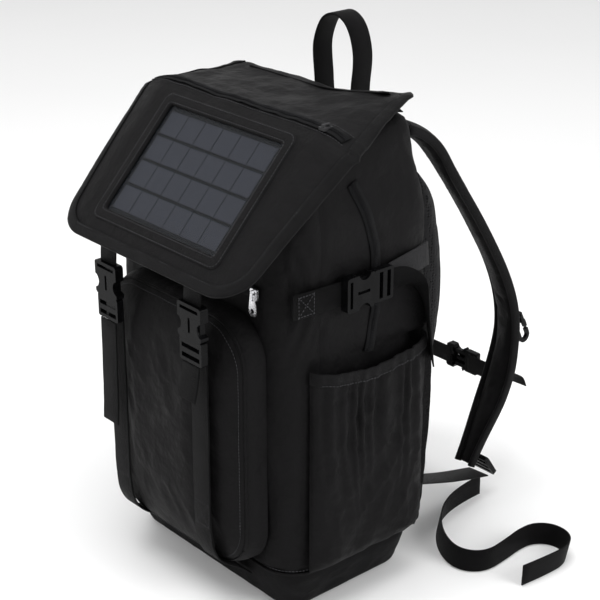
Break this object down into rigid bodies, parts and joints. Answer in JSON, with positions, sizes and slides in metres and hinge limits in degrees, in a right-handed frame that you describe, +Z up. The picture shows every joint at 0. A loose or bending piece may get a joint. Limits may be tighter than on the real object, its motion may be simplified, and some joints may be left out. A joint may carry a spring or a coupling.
{
  "type": "solar backpack",
  "caption": "Stuffed daypack with a sloping lid that carries a flexible solar panel, front and side pockets, side-release buckles, padded shoulder straps and a carry loop.",
  "frame": {"origin": "on the floor below the middle of the pack's width, where the flat base stands", "axes": "+Z up, -Y towards the pack's front with the panel, +Y towards the wearer's back, +X to the right side seen from the front"},
  "size_m": [0.4197, 0.4576, 0.5458],
  "materials": {
    "pack_cloth": "plain-woven polyester, slight sheen",
    "boot_cloth": "coarser base cloth",
    "lining_cloth": "thin lining cloth",
    "binding_tape": "ribbed edge tape",
    "webbing": "ribbed polyester webbing",
    "mesh_pad": "spacer mesh over foam",
    "buckle_plastic": "satin acetal",
    "zip_tape": "coil zip on tape",
    "bright_metal": "plated zinc",
    "cell_silicon": "blue-black silicon under film",
    "panel_laminate": "dark laminate",
    "window_film": "clear flexible film"
  },
  "bodies": {
    "bag": {"front_panel": "pack_cloth", "corner_panels": "pack_cloth", "side_panel_right": "pack_cloth", "side_panel_left": "pack_cloth", "back_panel": "pack_cloth", "top_cover": "pack_cloth", "front_pocket": "pack_cloth", "side_pocket_right": "pack_cloth", "side_pocket_left": "pack_cloth", "side_pocket_hems": "binding_tape", "base_boot": "boot_cloth", "hinge_tape": "lining_cloth", "front_strap_right": "webbing", "front_strap_left": "webbing", "side_straps": "webbing", "side_buckle_socket_right": "buckle_plastic", "side_buckle_socket_left": "buckle_plastic", "side_zips": "zip_tape", "front_zip": "zip_tape", "back_pad": "mesh_pad", "shoulder_strap_right": "mesh_pad", "shoulder_strap_left": "mesh_pad", "lower_webbing": "webbing", "strap_end_loops": "webbing", "chest_webbing": "webbing", "chest_buckle_socket": "buckle_plastic", "chest_adjusters": "buckle_plastic", "hook_tab": "webbing", "strap_tail": "webbing"},
    "lid": {"lid_cover": "pack_cloth", "lid_binding": "binding_tape", "window_border": "binding_tape", "panel_window": "window_film", "solar_cells": "cell_silicon", "panel_board": "panel_laminate", "charge_box": "buckle_plastic", "lid_lining": "lining_cloth", "lid_top": "pack_cloth", "lid_edge_tapes": "binding_tape", "lid_zip": "zip_tape", "front_buckle_socket_right": "buckle_plastic", "front_buckle_socket_left": "buckle_plastic", "front_buckle_hangers": "webbing"},
    "lid_slider": {"lid_zip_slider": "zip_tape"},
    "front_fork_right": {"front_buckle_fork_right": "buckle_plastic", "front_strap_tail_right": "webbing"},
    "front_fork_left": {"front_buckle_fork_left": "buckle_plastic", "front_strap_tail_left": "webbing"},
    "side_fork_right": {"side_buckle_fork_right": "buckle_plastic", "side_strap_tail_right": "webbing"},
    "side_fork_left": {"side_buckle_fork_left": "buckle_plastic", "side_strap_tail_left": "webbing"},
    "chest_fork": {"chest_buckle_fork": "buckle_plastic"},
    "carry_loop": {"handle": "webbing"},
    "front_slider": {"front_zip_slider": "bright_metal"},
    "front_pull": {"front_zip_pull": "bright_metal"},
    "lock_right": {"ladder_lock_right": "buckle_plastic"},
    "lock_left": {"ladder_lock_left": "buckle_plastic"},
    "key_hook": {"snap_hook": "buckle_plastic"}
  },
  "joints": [
    {"name": "lid_hinge", "type": "hinge", "parent": "bag", "child": "lid", "pos_m": [0, 0.068, 0.47], "axis": [-1, 0, 0], "range_deg": [0, 90]},
    {"name": "lid_zip_travel", "type": "slide", "parent": "lid", "child": "lid_slider", "axis": [1, 0, 0], "range_m": [-0.22, 0.01]},
    {"name": "front_buckle_right_slide", "type": "slide", "parent": "bag", "child": "front_fork_right", "axis": [0, 0, -1], "range_m": [0, 0.024]},
    {"name": "front_buckle_left_slide", "type": "slide", "parent": "bag", "child": "front_fork_left", "axis": [0, 0, -1], "range_m": [0, 0.024]},
    {"name": "side_buckle_right_slide", "type": "slide", "parent": "bag", "child": "side_fork_right", "axis": [0, 1, 0], "range_m": [0, 0.024]},
    {"name": "side_buckle_left_slide", "type": "slide", "parent": "bag", "child": "side_fork_left", "axis": [0, 1, 0], "range_m": [0, 0.024]},
    {"name": "chest_buckle_slide", "type": "slide", "parent": "bag", "child": "chest_fork", "axis": [1, 0, 0], "range_m": [0, 0.018]},
    {"name": "handle_fold", "type": "hinge", "parent": "bag", "child": "carry_loop", "pos_m": [0, 0.091, 0.458], "axis": [-1, 0, 0], "range_deg": [0, 95]},
    {"name": "front_zip_travel", "type": "slide", "parent": "bag", "child": "front_slider", "axis": [1, 0, 0], "range_m": [-0.185, 0]},
    {"name": "front_pull_swing", "type": "hinge", "parent": "front_slider", "child": "front_pull", "pos_m": [0.094, -0.1018, 0.3345], "axis": [-1, 0, 0], "range_deg": [0, 160]},
    {"name": "lock_right_tilt", "type": "hinge", "parent": "bag", "child": "lock_right", "pos_m": [0.085, 0.21817, 0.05261], "axis": [1, 0, 0], "range_deg": [0, 16]},
    {"name": "lock_left_tilt", "type": "hinge", "parent": "bag", "child": "lock_left", "pos_m": [-0.085, 0.21817, 0.05261], "axis": [1, 0, 0], "range_deg": [0, 16]},
    {"name": "hook_swing", "type": "hinge", "parent": "bag", "child": "key_hook", "pos_m": [0.082, 0.27445, 0.203], "axis": [1, 0, 0], "range_deg": [-8, 60]}
  ]
}
